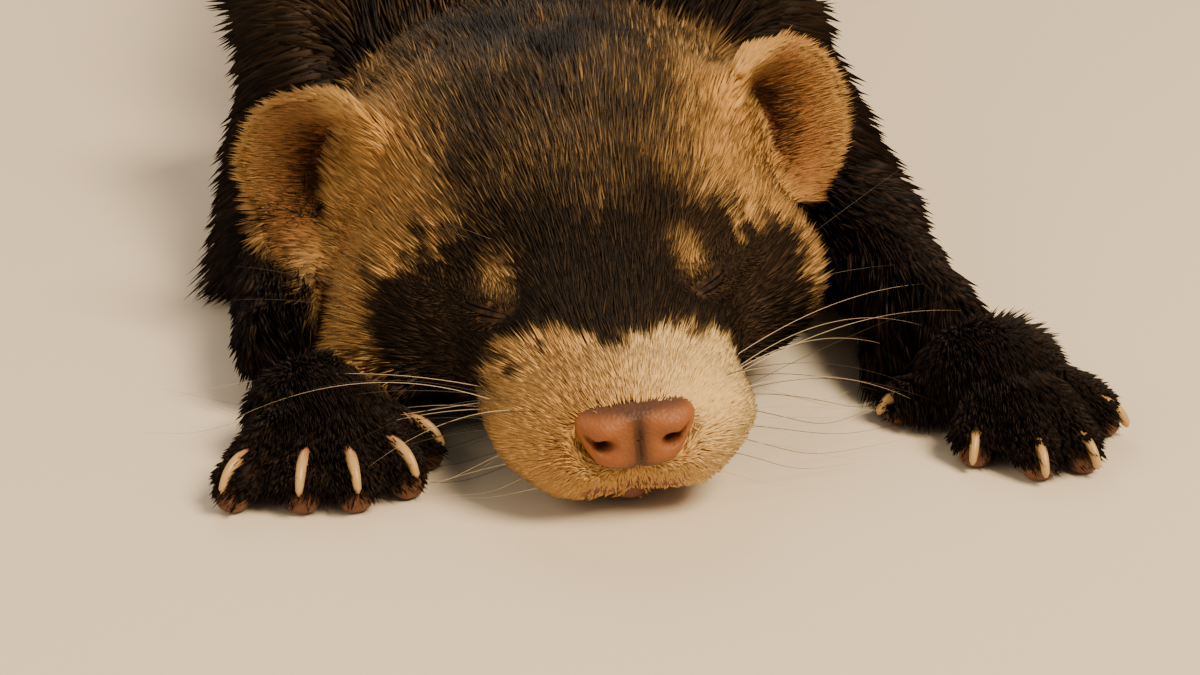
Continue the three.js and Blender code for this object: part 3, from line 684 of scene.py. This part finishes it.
# Around the shut eyes the hair is short and parts along the slit
slit_gap, from_slit_way = from_slit(local)
under_nose = ramp(9, 6, back) * ramp(-3.4, -4.2, up) * ramp(6.5, 4.8, side)
reach *= (0.3 + 0.7 * ramp(0.8, 5.5, slit_gap)) * (1 - 0.45 * under_nose)
per_mm2 *= ramp(0.75, 1.1, slit_gap) * (1 + 0.9 * ramp(5, 1, slit_gap))
parting = (0.85 * ramp(3.2, 1.0, slit_gap))[:, None]
lie = unit(lie * (1 - parting) + unit(from_slit_way @ head_axes.T) * parting)


def scattered(chance, amount, seed):
    """Roots on the skin: which triangle each is in, and its shares of the three corners."""
    draw = np.random.default_rng(seed)
    picks = np.searchsorted(np.cumsum(chance), draw.uniform(0, chance.sum(), amount))
    a, b = draw.uniform(size=(2, amount))
    fold = a + b > 1
    a, b = np.where(fold, 1 - a, a), np.where(fold, 1 - b, b)
    return np.clip(picks, 0, len(chance) - 1), np.stack([1 - a - b, a, b], 1)


triangles = np.concatenate([quads[:, [0, 1, 2]], quads[:, [0, 2, 3]]])
first, second, third = (skin[triangles[:, k]] for k in range(3))
spans = np.cross(second - first, third - first)
area = np.linalg.norm(spans, axis=1) / 2 / MM**2

UNWRAP_MARGIN = 0.03


def box_unwrap(points, normals):
    """Each point's place on the six sides of a box drawn round the points, laid out three by two."""
    low, high = points.min(0), points.max(0)
    share = (points - low) / (high - low).max()
    axis = np.abs(normals).argmax(1)
    behind = normals[np.arange(len(points)), axis] < 0
    u = np.where(axis == 0, share[:, 1], share[:, 0])
    v = np.where(axis == 2, share[:, 1], share[:, 2])
    inside = 1 - 2 * UNWRAP_MARGIN
    return np.stack([
        (axis + UNWRAP_MARGIN + inside * u) / 3,
        (behind + UNWRAP_MARGIN + inside * v) / 2,
    ], 1)


SLIVER = np.array([[0, 1, 2], [3, 2, 1], [0, 3, 1], [0, 2, 3]])
PATCH = np.array([[0, -1.5], [-1.5, 0.3], [1.5, 0.3], [0, 1.5]]) * MM


def coat_piece(name, where, slot, seed, clump):
    """One piece of the coat, on the part of the skin that where gives, in locks of about clump tufts."""
    chance = area * (per_mm2 * where)[triangles].mean(1)
    amount = int(chance.sum() * (1))
    picks, shares = scattered(chance, amount, seed)
    draw = np.random.default_rng(seed + 1)

    def at_root(values):
        return np.einsum("ij,ij...->i...", shares, values[triangles[picks]])

    root, normal = at_root(skin), unit(at_root(outward))
    way = at_root(lie)
    facing_out = (way * normal).sum(1)
    way = unit(way - (facing_out * (1 - 0.8 * ramp(0.5, 0.95, facing_out)))[:, None] * normal)
    sway = 0.14 * ripple(root / MM, 9, seed + 5) + draw.normal(0, 0.09, amount)
    way = unit(way + np.cross(normal, way) * sway[:, None])
    length = at_root(reach) * MM * draw.uniform(0.6, 1.12, amount)
    width = at_root(thickness) * MM * draw.uniform(0.65, 1.3, amount)
    lift = np.radians(at_root(stand) * draw.uniform(0.6, 1.45, amount))
    rise, fall = 1.4 * lift, 0.55 * lift
    middle = root + 0.45 * length[:, None] * (np.cos(rise)[:, None] * way + np.sin(rise)[:, None] * normal)
    tip = middle + 0.55 * length[:, None] * (np.cos(fall)[:, None] * way + np.sin(fall)[:, None] * normal)
    centres = draw.choice(amount, max(1, int(amount / clump)), replace=False)
    tree = KDTree(len(centres))
    for i, c in enumerate(centres):
        tree.insert(root[c], i)
    tree.balance()
    nearest = centres[np.array([tree.find(p)[1] for p in root])]
    pull = draw.uniform(0.05, 0.5, amount)[:, None]
    tip += pull * (tip[nearest] - tip)
    middle += 0.35 * pull * (middle[nearest] - middle)
    middle[:, 2] = np.maximum(middle[:, 2], 0.3 * MM)
    tip[:, 2] = np.maximum(tip[:, 2], 0.15 * MM)
    across = unit(np.cross(tip - root, normal)) * (width / 2)[:, None]
    start = root - 0.35 * MM * normal
    places = np.stack([start, middle + across, middle - across, tip], 1).reshape(-1, 3)
    corners = (SLIVER[None] + 4 * np.arange(amount)[:, None, None]).reshape(-1, 3)
    mesh = new_mesh(name, places, corners)

    root_shares = {region: at_root(share) for region, share in label.items()}
    root_dark, root_white_and_lit = markings(root, root_shares)
    # Painted shade: tufts in each ear's hollow are made dark
    root_dark = np.maximum(root_dark, 0.93 * ramp(0.2, 0.85, at_root(hollow)))
    mixed = 4 * root_dark * (1 - root_dark)
    tone = np.clip(root_dark + mixed * draw.normal(0, 0.42, amount), 0, 1)
    paler_root = mixed[:, None] * [0.75, 0.35, 0.35, -0.1]
    tone = np.clip(tone[:, None] * (1 - paler_root), 0, 1)
    # Pale tufts among dark ones are golden brown: their real tint, darkened as painted shade between the
    # dark hairs; the ear's warm inner face adds the same tint
    gold = np.clip(1.3 * root_dark, 0, 1) * draw.uniform(0.35, 1, amount)
    gold *= 1 - 0.5 * at_root(label["trunk"])
    gold = np.clip(gold + at_root(warm) * draw.uniform(0.6, 1, amount), 0, 1)
    give_values(mesh, {
        "tone": tone.ravel(),
        "white": np.repeat(root_white_and_lit, 4),
        "gold": np.repeat(gold, 4),
        "warm": np.repeat(at_root(warm), 4),
        "tuft": np.repeat(draw.uniform(size=amount), 4),
    })
    unwrap = (box_unwrap(root, normal)[:, None] + PATCH[None]).reshape(-1, 2)[corners.ravel()]
    mesh.uv_layers.new(name="OFBake").data.foreach_set("uv", unwrap.astype(np.float32).ravel())
    mesh.materials.append(fur.material)
    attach(shown(name, mesh), "root")


fur = Finish("fur")
tone = fur.value("tone")
tuft = fur.value("tuft")
# Pale tufts on the muzzle, with its painted light
light_hair = fur.mix(fur.value("white"), CREAM, PALE)
light_hair = fur.mix(0.35 * tuft, light_hair, STRAW)
# Golden brown darkened as painted shade, on pale tufts among dark hair
light_hair = fur.mix(fur.value("gold"), light_hair, SHADED_GOLD)
light_hair = fur.mix(fur.value("warm") * 0.75, light_hair, EAR_HAIR)
dark_hair = fur.mix(tuft ** 4.0, SABLE, BROWN_SABLE)
fur.set(
    Base_Color=fur.mix(tone, light_hair, dark_hair),
    Roughness=0.52 + 0.06 * tone,
    Specular_IOR_Level=0.13,
)

LEG_SPLIT = 0.04
ARM_SPLIT = 0.01
in_front = ramp(31, 29, back)
face, crown = label["head"] * in_front, label["head"] * (1 - in_front)
left_side = ramp(-0.05, 0.05, local[:, 0])
fore, aft = ramp(0.045, 0.035, skin[:, 1]), ramp(0.135, 0.145, skin[:, 1])
is_fore = skin[:, 1] < LEG_SPLIT
left_arm = skin[:, 0] > ARM_SPLIT

# Each piece of the coat: where it stands, its slot, and how many tufts lean together in a lock
COATS = {
    "coat_face_left": (face * left_side, "coat_cream", 7),
    "coat_face_right": (face * (1 - left_side), "coat_cream", 7),
    "coat_crown_left": (crown * left_side, "coat_cream", 8),
    "coat_crown_right": (crown * (1 - left_side), "coat_cream", 8),
    "coat_ears": (label["ear"], "coat_cream", 5),
    "coat_shoulders": (label["trunk"] * fore, "coat_grizzled", 9),
    "coat_ribs": (label["trunk"] * (1 - fore) * (1 - aft), "coat_grizzled", 9),
    "coat_loins": (label["trunk"] * aft, "coat_grizzled", 9),
    "coat_foreleg_left": (label["legs"] * is_fore * left_arm, "coat_sable", 6),
    "coat_foreleg_right": (label["legs"] * is_fore * ~left_arm, "coat_sable", 6),
    "coat_hindlegs": (label["legs"] * ~is_fore, "coat_sable", 6),
    "coat_tail": (label["tail"], "coat_sable", 8),
}
for number, (name, (where, slot, clump)) in enumerate(COATS.items()):
    coat_piece(name, where, slot, 101 + 2 * number, clump)


# The eyelids
# Bare dark rims of shut lids: the upper one domes over the eye and closes on the lower one along a
# slit that sags a little, in the skin itself.
LID_ROWS, LID_COLUMNS = 61, 31
LID_HALF_WIDE = 0.85
LID_DARK = (0.004, 0.0024, 0.0019)
LID_BROWN = (0.009, 0.0052, 0.004)
SLIT_SHADE = (0.0004, 0.0002, 0.0002)
skin_tree = BVHTree.FromPolygons(skin.tolist(), quads.tolist())


def lid_mesh(sign):
    """Both lids of one eye: points, corners, and how far each point lies in the slit."""
    rows, columns = np.linspace(-0.12, 1.12, LID_ROWS), np.linspace(-1, 1, LID_COLUMNS)
    along, across = np.meshgrid(rows, columns, indexing="ij")
    u, v = along.ravel(), across.ravel()
    run = SLIT_OUTER - SLIT_INNER
    sag = SLIT_SAG * 4 * np.clip(u, 0, 1) * (1 - np.clip(u, 0, 1))
    width = LID_HALF_WIDE * np.sqrt(np.clip(1 - ((u - 0.5) / 0.64) ** 2, 0, 1)) + 0.02
    place = SLIT_INNER + u[:, None] * run + (v * width - sag)[:, None] * LID_RISE
    world = [from_head(sign * x, y, z) for x, y, z in place]
    found = [skin_tree.find_nearest(Vector(q)) for q in world]
    on_skin = np.array([list(f[0]) for f in found])
    out = np.array([list(f[1]) for f in found])
    rim = 1 - np.abs(v) ** 3
    groove = np.exp(-((v * width / 0.34) ** 2)) * ramp(-0.08, 0.1, u) * ramp(1.1, 0.92, u)
    height = (0.7 * rim - 0.25 - 0.8 * groove) * ramp(-0.12, 0.05, u) * ramp(1.12, 0.95, u) - 0.1
    grid = np.arange(LID_ROWS * LID_COLUMNS).reshape(LID_ROWS, LID_COLUMNS)
    corners = np.stack([grid[:-1, :-1], grid[1:, :-1], grid[1:, 1:], grid[:-1, 1:]], -1).reshape(-1, 4)
    return on_skin + out * (height * MM)[:, None], corners[:, ::sign], groove


lid_skin = Finish("lid_skin")
lid_grain = lid_skin.noise(2400, 3)
lid_tone = lid_skin.mix(lid_grain, LID_DARK, LID_BROWN)
# Painted shade: the groove between the lids is near black
lid_colour = lid_skin.mix(lid_skin.value("groove"), lid_tone, SLIT_SHADE)
lid_skin.set(Base_Color=lid_colour, Roughness=0.9, Specular_IOR_Level=0.03)
lid_skin.bump(lid_grain, 0.0001, 0.6)
for side_name, sign in EAR_SIDES.items():
    places, corners, groove = lid_mesh(sign)
    lids = new_mesh(f"eyelids_{side_name}", places, corners)
    give_values(lids, {"groove": groove})
    lids.materials.append(lid_skin.material)
    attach(shown(f"eyelids_{side_name}", lids), "root")


# The nose
# Bare, finely pebbled leather, wider above than below, with a comma-shaped nostril each side and a
# groove down the middle.
NOSE_ROWS, NOSE_COLUMNS = 110, 160
SQUARENESS = 3.2
MIDLINE = 0.25
LEATHER_DARK = (0.21, 0.062, 0.015)
LEATHER_PALE = (0.34, 0.118, 0.033)
STRIPE = (0.06, 0.022, 0.010)
NOSTRIL_SHADE = (0.035, 0.008, 0.005)


def nose_mesh():
    v, h = angles(NOSE_ROWS, NOSE_COLUMNS, 0.02)
    p = np.stack([np.sin(v) * np.cos(h), -np.cos(v), np.sin(v) * np.sin(h)], -1).reshape(-1, 3)
    p /= (np.abs(p) ** SQUARENESS).sum(1)[:, None] ** (1 / SQUARENESS)
    x, y, z = p.T
    place = np.stack([x * (5.35 + 1.5 * z - 0.45 * z**3) + MIDLINE, y * 3.0, z * 3.35 - 0.6], 1)
    front = ramp(0.3, -0.5, y)
    px, pz = np.abs(place[:, 0] - MIDLINE) * 0.9, place[:, 2] + 0.4
    inward = 0.5 * np.exp(-((px / 0.38) ** 2)) * ramp(2.6, 0.2, pz)
    pit = np.exp(-(((px - 2.9) / 0.7) ** 2 + ((pz + 0.5) / 0.55) ** 2))
    comma = np.exp(-(((px - 3.9) / 0.7) ** 2 + ((pz - 0.1 - 1.1 * (px - 3.9)) / 0.35) ** 2))
    wing = np.exp(-(((px - 2.9) / 1.4) ** 2 + ((pz - 1.2) / 0.8) ** 2))
    sill = np.exp(-(((px - 2.3) / 1.3) ** 2 + ((pz + 2.2) / 0.7) ** 2))
    brow = ramp(1.9, 3.3, pz)
    place[:, 1] += front * (inward + 1.9 * pit + 0.7 * comma - 0.45 * wing - 0.25 * sill + 0.5 * brow)
    place[:, 1] += 3.05
    world = np.array([from_head(*q) for q in place])
    grid = np.arange(NOSE_ROWS * NOSE_COLUMNS).reshape(NOSE_ROWS, NOSE_COLUMNS)
    a, b = grid[:-1], grid[1:]
    corners = np.stack([a, np.roll(a, -1, 1), np.roll(b, -1, 1), b], -1).reshape(-1, 4)
    mesh = new_mesh("nose_leather", world, corners)
    stripe = np.exp(-(((place[:, 0] - 0.35) / 1.05) ** 2)) * ramp(-4.2, -2.0, pz)
    stripe += 0.95 * ramp(2.0, 2.9, pz)
    stripe += 0.8 * ramp(-2.2, -3.1, pz) * ramp(4.0, 2.5, px)
    # How far into a nostril's pit each point lies, where the leather is painted dark as shade
    deep = np.clip(pit + 0.4 * comma, 0, 1) * front
    give_values(mesh, {"stripe": np.clip(stripe, 0, 1), "deep": deep})
    return mesh


leather = Finish("bare_leather")
on_nose = leather.node("ShaderNodeTexCoord", {}, {}, "Object")
pebbles = leather.node("ShaderNodeTexVoronoi", {}, {"Scale": 2600.0, "Vector": on_nose})
mottle = leather.noise(500, 4)
blush = leather.mix(mottle, LEATHER_DARK, LEATHER_PALE)
blush = leather.mix((leather.value("stripe") * 0.95).within(), blush, STRIPE)
# Painted shade in the nostril pits, over the dark red of their lining
blush = leather.mix(leather.value("deep"), blush, NOSTRIL_SHADE)
leather.set(Base_Color=blush, Roughness=0.55 + 0.2 * (mottle - 0.5), Specular_IOR_Level=0.4)
leather.bump(pebbles, 0.00015, 0.45)
nose_leather = nose_mesh()
nose_leather.materials.append(leather.material)
nose_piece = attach(shown("nose_leather", nose_leather), "root")
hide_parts("nose")


# The toe pads
# Bare, pebbled leather cushions under the end of each toe, flattened by the floor and rubbed pale.
PAD_DARK = (0.10, 0.038, 0.02)
PAD_PALE = (0.27, 0.115, 0.05)
PAD_LONG, PAD_WIDE, PAD_DEEP = 1.65, 1.6, 1.2
pad_skin = Finish("pad_skin")
pad_grain = pad_skin.noise(1500, 4)
pad_colour = pad_skin.mix(pad_grain, PAD_DARK, PAD_PALE)
pad_skin.set(Base_Color=pad_colour, Roughness=0.55)
pad_skin.bump(pad_skin.node("ShaderNodeTexVoronoi", {}, {"Scale": 2200.0}), 0.0002, 0.6)


def stacked(name, parts, material, slot, *replaced):
    """One piece from many closed meshes."""
    mesh = new_mesh(name, *stack(parts))
    mesh.materials.append(material)
    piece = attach(shown(name, mesh), "root")
    if replaced:
        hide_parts(*replaced)
    return piece


def pad_of(toe):
    centre = toe.at(-3.1 + 0.5 * toe.tip[2], 1.25)

    def shape(ball):
        squared = unit(ball) * (1 / (np.abs(unit(ball)) ** 2.5).sum(1) ** 0.4)[:, None]
        place = centre + squared[:, :1] * PAD_LONG * toe.way + squared[:, 1:2] * PAD_WIDE * toe.across
        place = place + squared[:, 2:] * [0, 0, PAD_DEEP]
        place[:, 2] = np.maximum(place[:, 2], 0.05)
        return place * MM

    return ball_mesh(14, 22, shape)


stacked("toe_pads", [pad_of(toe) for toe in toes], pad_skin.material, "bare_leather")


# The claws
# Pale, curved horn, deeper than it is wide, with the quick showing at the root; one grows out of the
# fur over each toe pad and is worn a little blunt.
CLAW_RINGS, CLAW_SIDES = 15, 12
CLAW_HALF_WIDE, CLAW_HALF_DEEP = 0.62, 0.78
HORN_DARK = (0.45, 0.28, 0.105)
HORN_PALE = (0.56, 0.37, 0.155)
HORN_ROOT = (0.36, 0.17, 0.07)
horn = Finish("claw_horn")
growth = horn.noise(900, 3)
horn_tan = horn.mix(growth, HORN_DARK, HORN_PALE)
horn_colour = horn.mix(horn.value("along"), HORN_ROOT, horn_tan)
horn.set(Base_Color=horn_colour, Roughness=0.34)
horn.bump(growth, 0.00008, 0.5)


def tube(centres, sides_around, wide, deep, ups):
    """A closed tube through centres, with a half width and half depth at each."""
    centres = np.asarray(centres, float)
    run = unit(np.gradient(centres, axis=0))
    aside = unit(np.cross(run, ups))
    over_top = np.cross(aside, run)
    turn = np.linspace(0, 2 * math.pi, sides_around, endpoint=False)
    rings = (
        centres[:, None] + aside[:, None] * (np.outer(wide, np.cos(turn)))[..., None]
        + over_top[:, None] * (np.outer(deep, np.sin(turn)))[..., None]
    )
    places = np.concatenate([rings.reshape(-1, 3), centres[:1], centres[-1:]])
    return places, ring_faces(len(centres), sides_around)


def claw_of(toe):
    t = np.linspace(0, 1, CLAW_RINGS)[:, None]
    root, bend = toe.at(-4.8, toe.tip[2] + 2.3), toe.at(-1.1, toe.tip[2] + 2.9)
    line = (1 - t) ** 2 * root + 2 * t * (1 - t) * bend + t**2 * toe.tip
    t = t.ravel()
    taper = 1 - 0.45 * t**2.0 - 0.35 * ramp(0.92, 1.0, t)
    wide, deep = CLAW_HALF_WIDE * MM * taper, CLAW_HALF_DEEP * MM * taper
    return tube(line * MM, CLAW_SIDES, wide, deep, np.array([0, 0, 1.0]))


claw_nodes = [toe.node for toe in toes]
claws = stacked("claws", [claw_of(toe) for toe in toes], horn.material, "claw_horn", *claw_nodes)
along_claw = np.concatenate([np.repeat(np.linspace(0, 1, CLAW_RINGS), CLAW_SIDES), [0, 1]])
give_values(claws.data, {"along": np.tile(ramp(0.1, 0.5, along_claw), len(toes))})


# The whiskers
# Stiff tapered bristles from the upper lips, longest behind, that sweep back and droop to the floor,
# with a few over the eyes and on the cheeks. Some are pale and some near black.
WHISKER_RINGS, WHISKER_SIDES = 22, 4
LIP_ROWS, LIP_COLUMNS = 4, 6
LIP_WHISKER, FACE_WHISKER = 0.04, 0.05
DARK_SHARE = 0.4
BRISTLES = {
    "pale": ((0.52, 0.40, 0.24), (0.70, 0.58, 0.38)),
    "dark": ((0.012, 0.008, 0.006), (0.05, 0.03, 0.02)),
}
# Left, back and up in the head's own frame, and length: three over each eye, two on each cheek
FACE_BRISTLES = (
    (9.5, 24, 12.5, 15), (11.5, 25.5, 12.2, 13), (8, 24.5, 13.2, 11),
    (20.5, 31, 3.5, 17), (21, 33, 0.5, 14),
)
draw = np.random.default_rng(77)
bristles = {"pale": [], "dark": []}


def bristle(start, way, droop, length, thick, shade):
    """A whisker from a place on the skin, kept above the floor."""
    t = np.linspace(0, 1, WHISKER_RINGS)[:, None]
    line = start + t * length * way + t**2 * length * droop
    line[:, 2] = 0.4 + (line[:, 2] + np.sqrt(line[:, 2] ** 2 + 6.0)) / 2
    taper = 1 - 0.85 * t.ravel()
    half = thick * taper * MM
    bristles[shade].append(tube(line * MM, WHISKER_SIDES, half, half, np.array([0.1, 0.1, 1.0])))


for sign in (1, -1):
    for row in range(LIP_ROWS):
        for column in range(LIP_COLUMNS):
            x = 7.4 + 1.5 * column - 0.5 * row + draw.normal(0, 0.2)
            y = 5.5 + 1.7 * column + draw.normal(0, 0.2)
            z = 0.2 - 1.75 * row + draw.normal(0, 0.15)
            start, out, _, _ = skin_tree.find_nearest(Vector(from_head(sign * x, y, z)))
            aim = np.array([sign * (1.1 - 0.05 * column), 0.28 + 0.1 * column, 0.18 - 0.17 * row])
            way = unit(head_axes @ aim + 0.25 * np.array(out))
            way = unit(way + draw.normal(0, 0.09, 3))
            droop = np.array([0, draw.uniform(-0.1, 0.25), draw.uniform(-0.5, -0.15)])
            length = draw.uniform(0.75, 1.1) * (13 + 6.5 * column)
            shade = "dark" if draw.uniform() < DARK_SHARE else "pale"
            bristle(np.array(start) / MM - 0.5 * way, way, droop, length, LIP_WHISKER, shade)
    for x, y, z, tall in FACE_BRISTLES:
        start, out, _, _ = skin_tree.find_nearest(Vector(from_head(sign * x, y, z)))
        aim = np.array([sign * 0.9, 0.15, 0.35])
        way = unit(head_axes @ aim + 0.6 * np.array(out) + draw.normal(0, 0.12, 3))
        droop = np.array([0, 0.25, draw.uniform(-0.3, 0.0)])
        bristle(np.array(start) / MM - 0.5 * way, way, droop, tall, FACE_WHISKER, "dark")
for shade, slot in (("pale", "coat_cream"), ("dark", "coat_sable")):
    strand = Finish(f"{shade}_bristle")
    strand.set(Base_Color=strand.mix(strand.noise(200), *BRISTLES[shade]), Roughness=0.35)
    stacked(f"whiskers_{shade}", bristles[shade], strand.material, slot)


# The floor and the light
# A plain pale sheet under the animal, a warm key from ahead on the animal's left, a wide soft fill from
# its right, and a soft light from behind.
PAPER = (0.80, 0.71, 0.57)
HALF_SHEET = 3
LIT_PLACE = Vector((0, 0, 0.02))
sheet_corners = [(HALF_SHEET * x, HALF_SHEET * y, 0) for x, y in ((-1, -1), (1, -1), (1, 1), (-1, 1))]
floor_mesh = bpy.data.meshes.new("floor")
floor_mesh.from_pydata(sheet_corners, [], [(0, 1, 2, 3)])
floor = shown("floor", floor_mesh)
paper = Finish("paper")
paper.set(Base_Color=PAPER, Roughness=0.9)
floor_mesh.materials.append(paper.material)


def soft_light(name, place, size, power, colour):
    lamp = bpy.data.lights.new(name, "AREA")
    lamp.size = size
    lamp.energy = power
    lamp.color = colour
    holder = bpy.data.objects.new(name, lamp)
    holder.location = place
    holder.rotation_mode = "QUATERNION"
    holder.rotation_quaternion = (Vector(place) - LIT_PLACE).to_track_quat("Z", "Y")
    bpy.context.scene.collection.objects.link(holder)


soft_light("key", (0.5, -0.45, 0.8), 0.4, 17, (1.0, 0.77, 0.50))
soft_light("fill", (-0.8, -0.5, 0.5), 0.8, 4.5, (1.0, 0.79, 0.56))
soft_light("back", (-0.2, 0.9, 0.8), 0.7, 6, (1.0, 0.84, 0.66))
world = bpy.data.worlds.new("world")
world.use_nodes = True
world.node_tree.nodes["Background"].inputs["Color"].default_value = (1.0, 0.90, 0.76, 1)
world.node_tree.nodes["Background"].inputs["Strength"].default_value = 0.25
bpy.context.scene.world = world
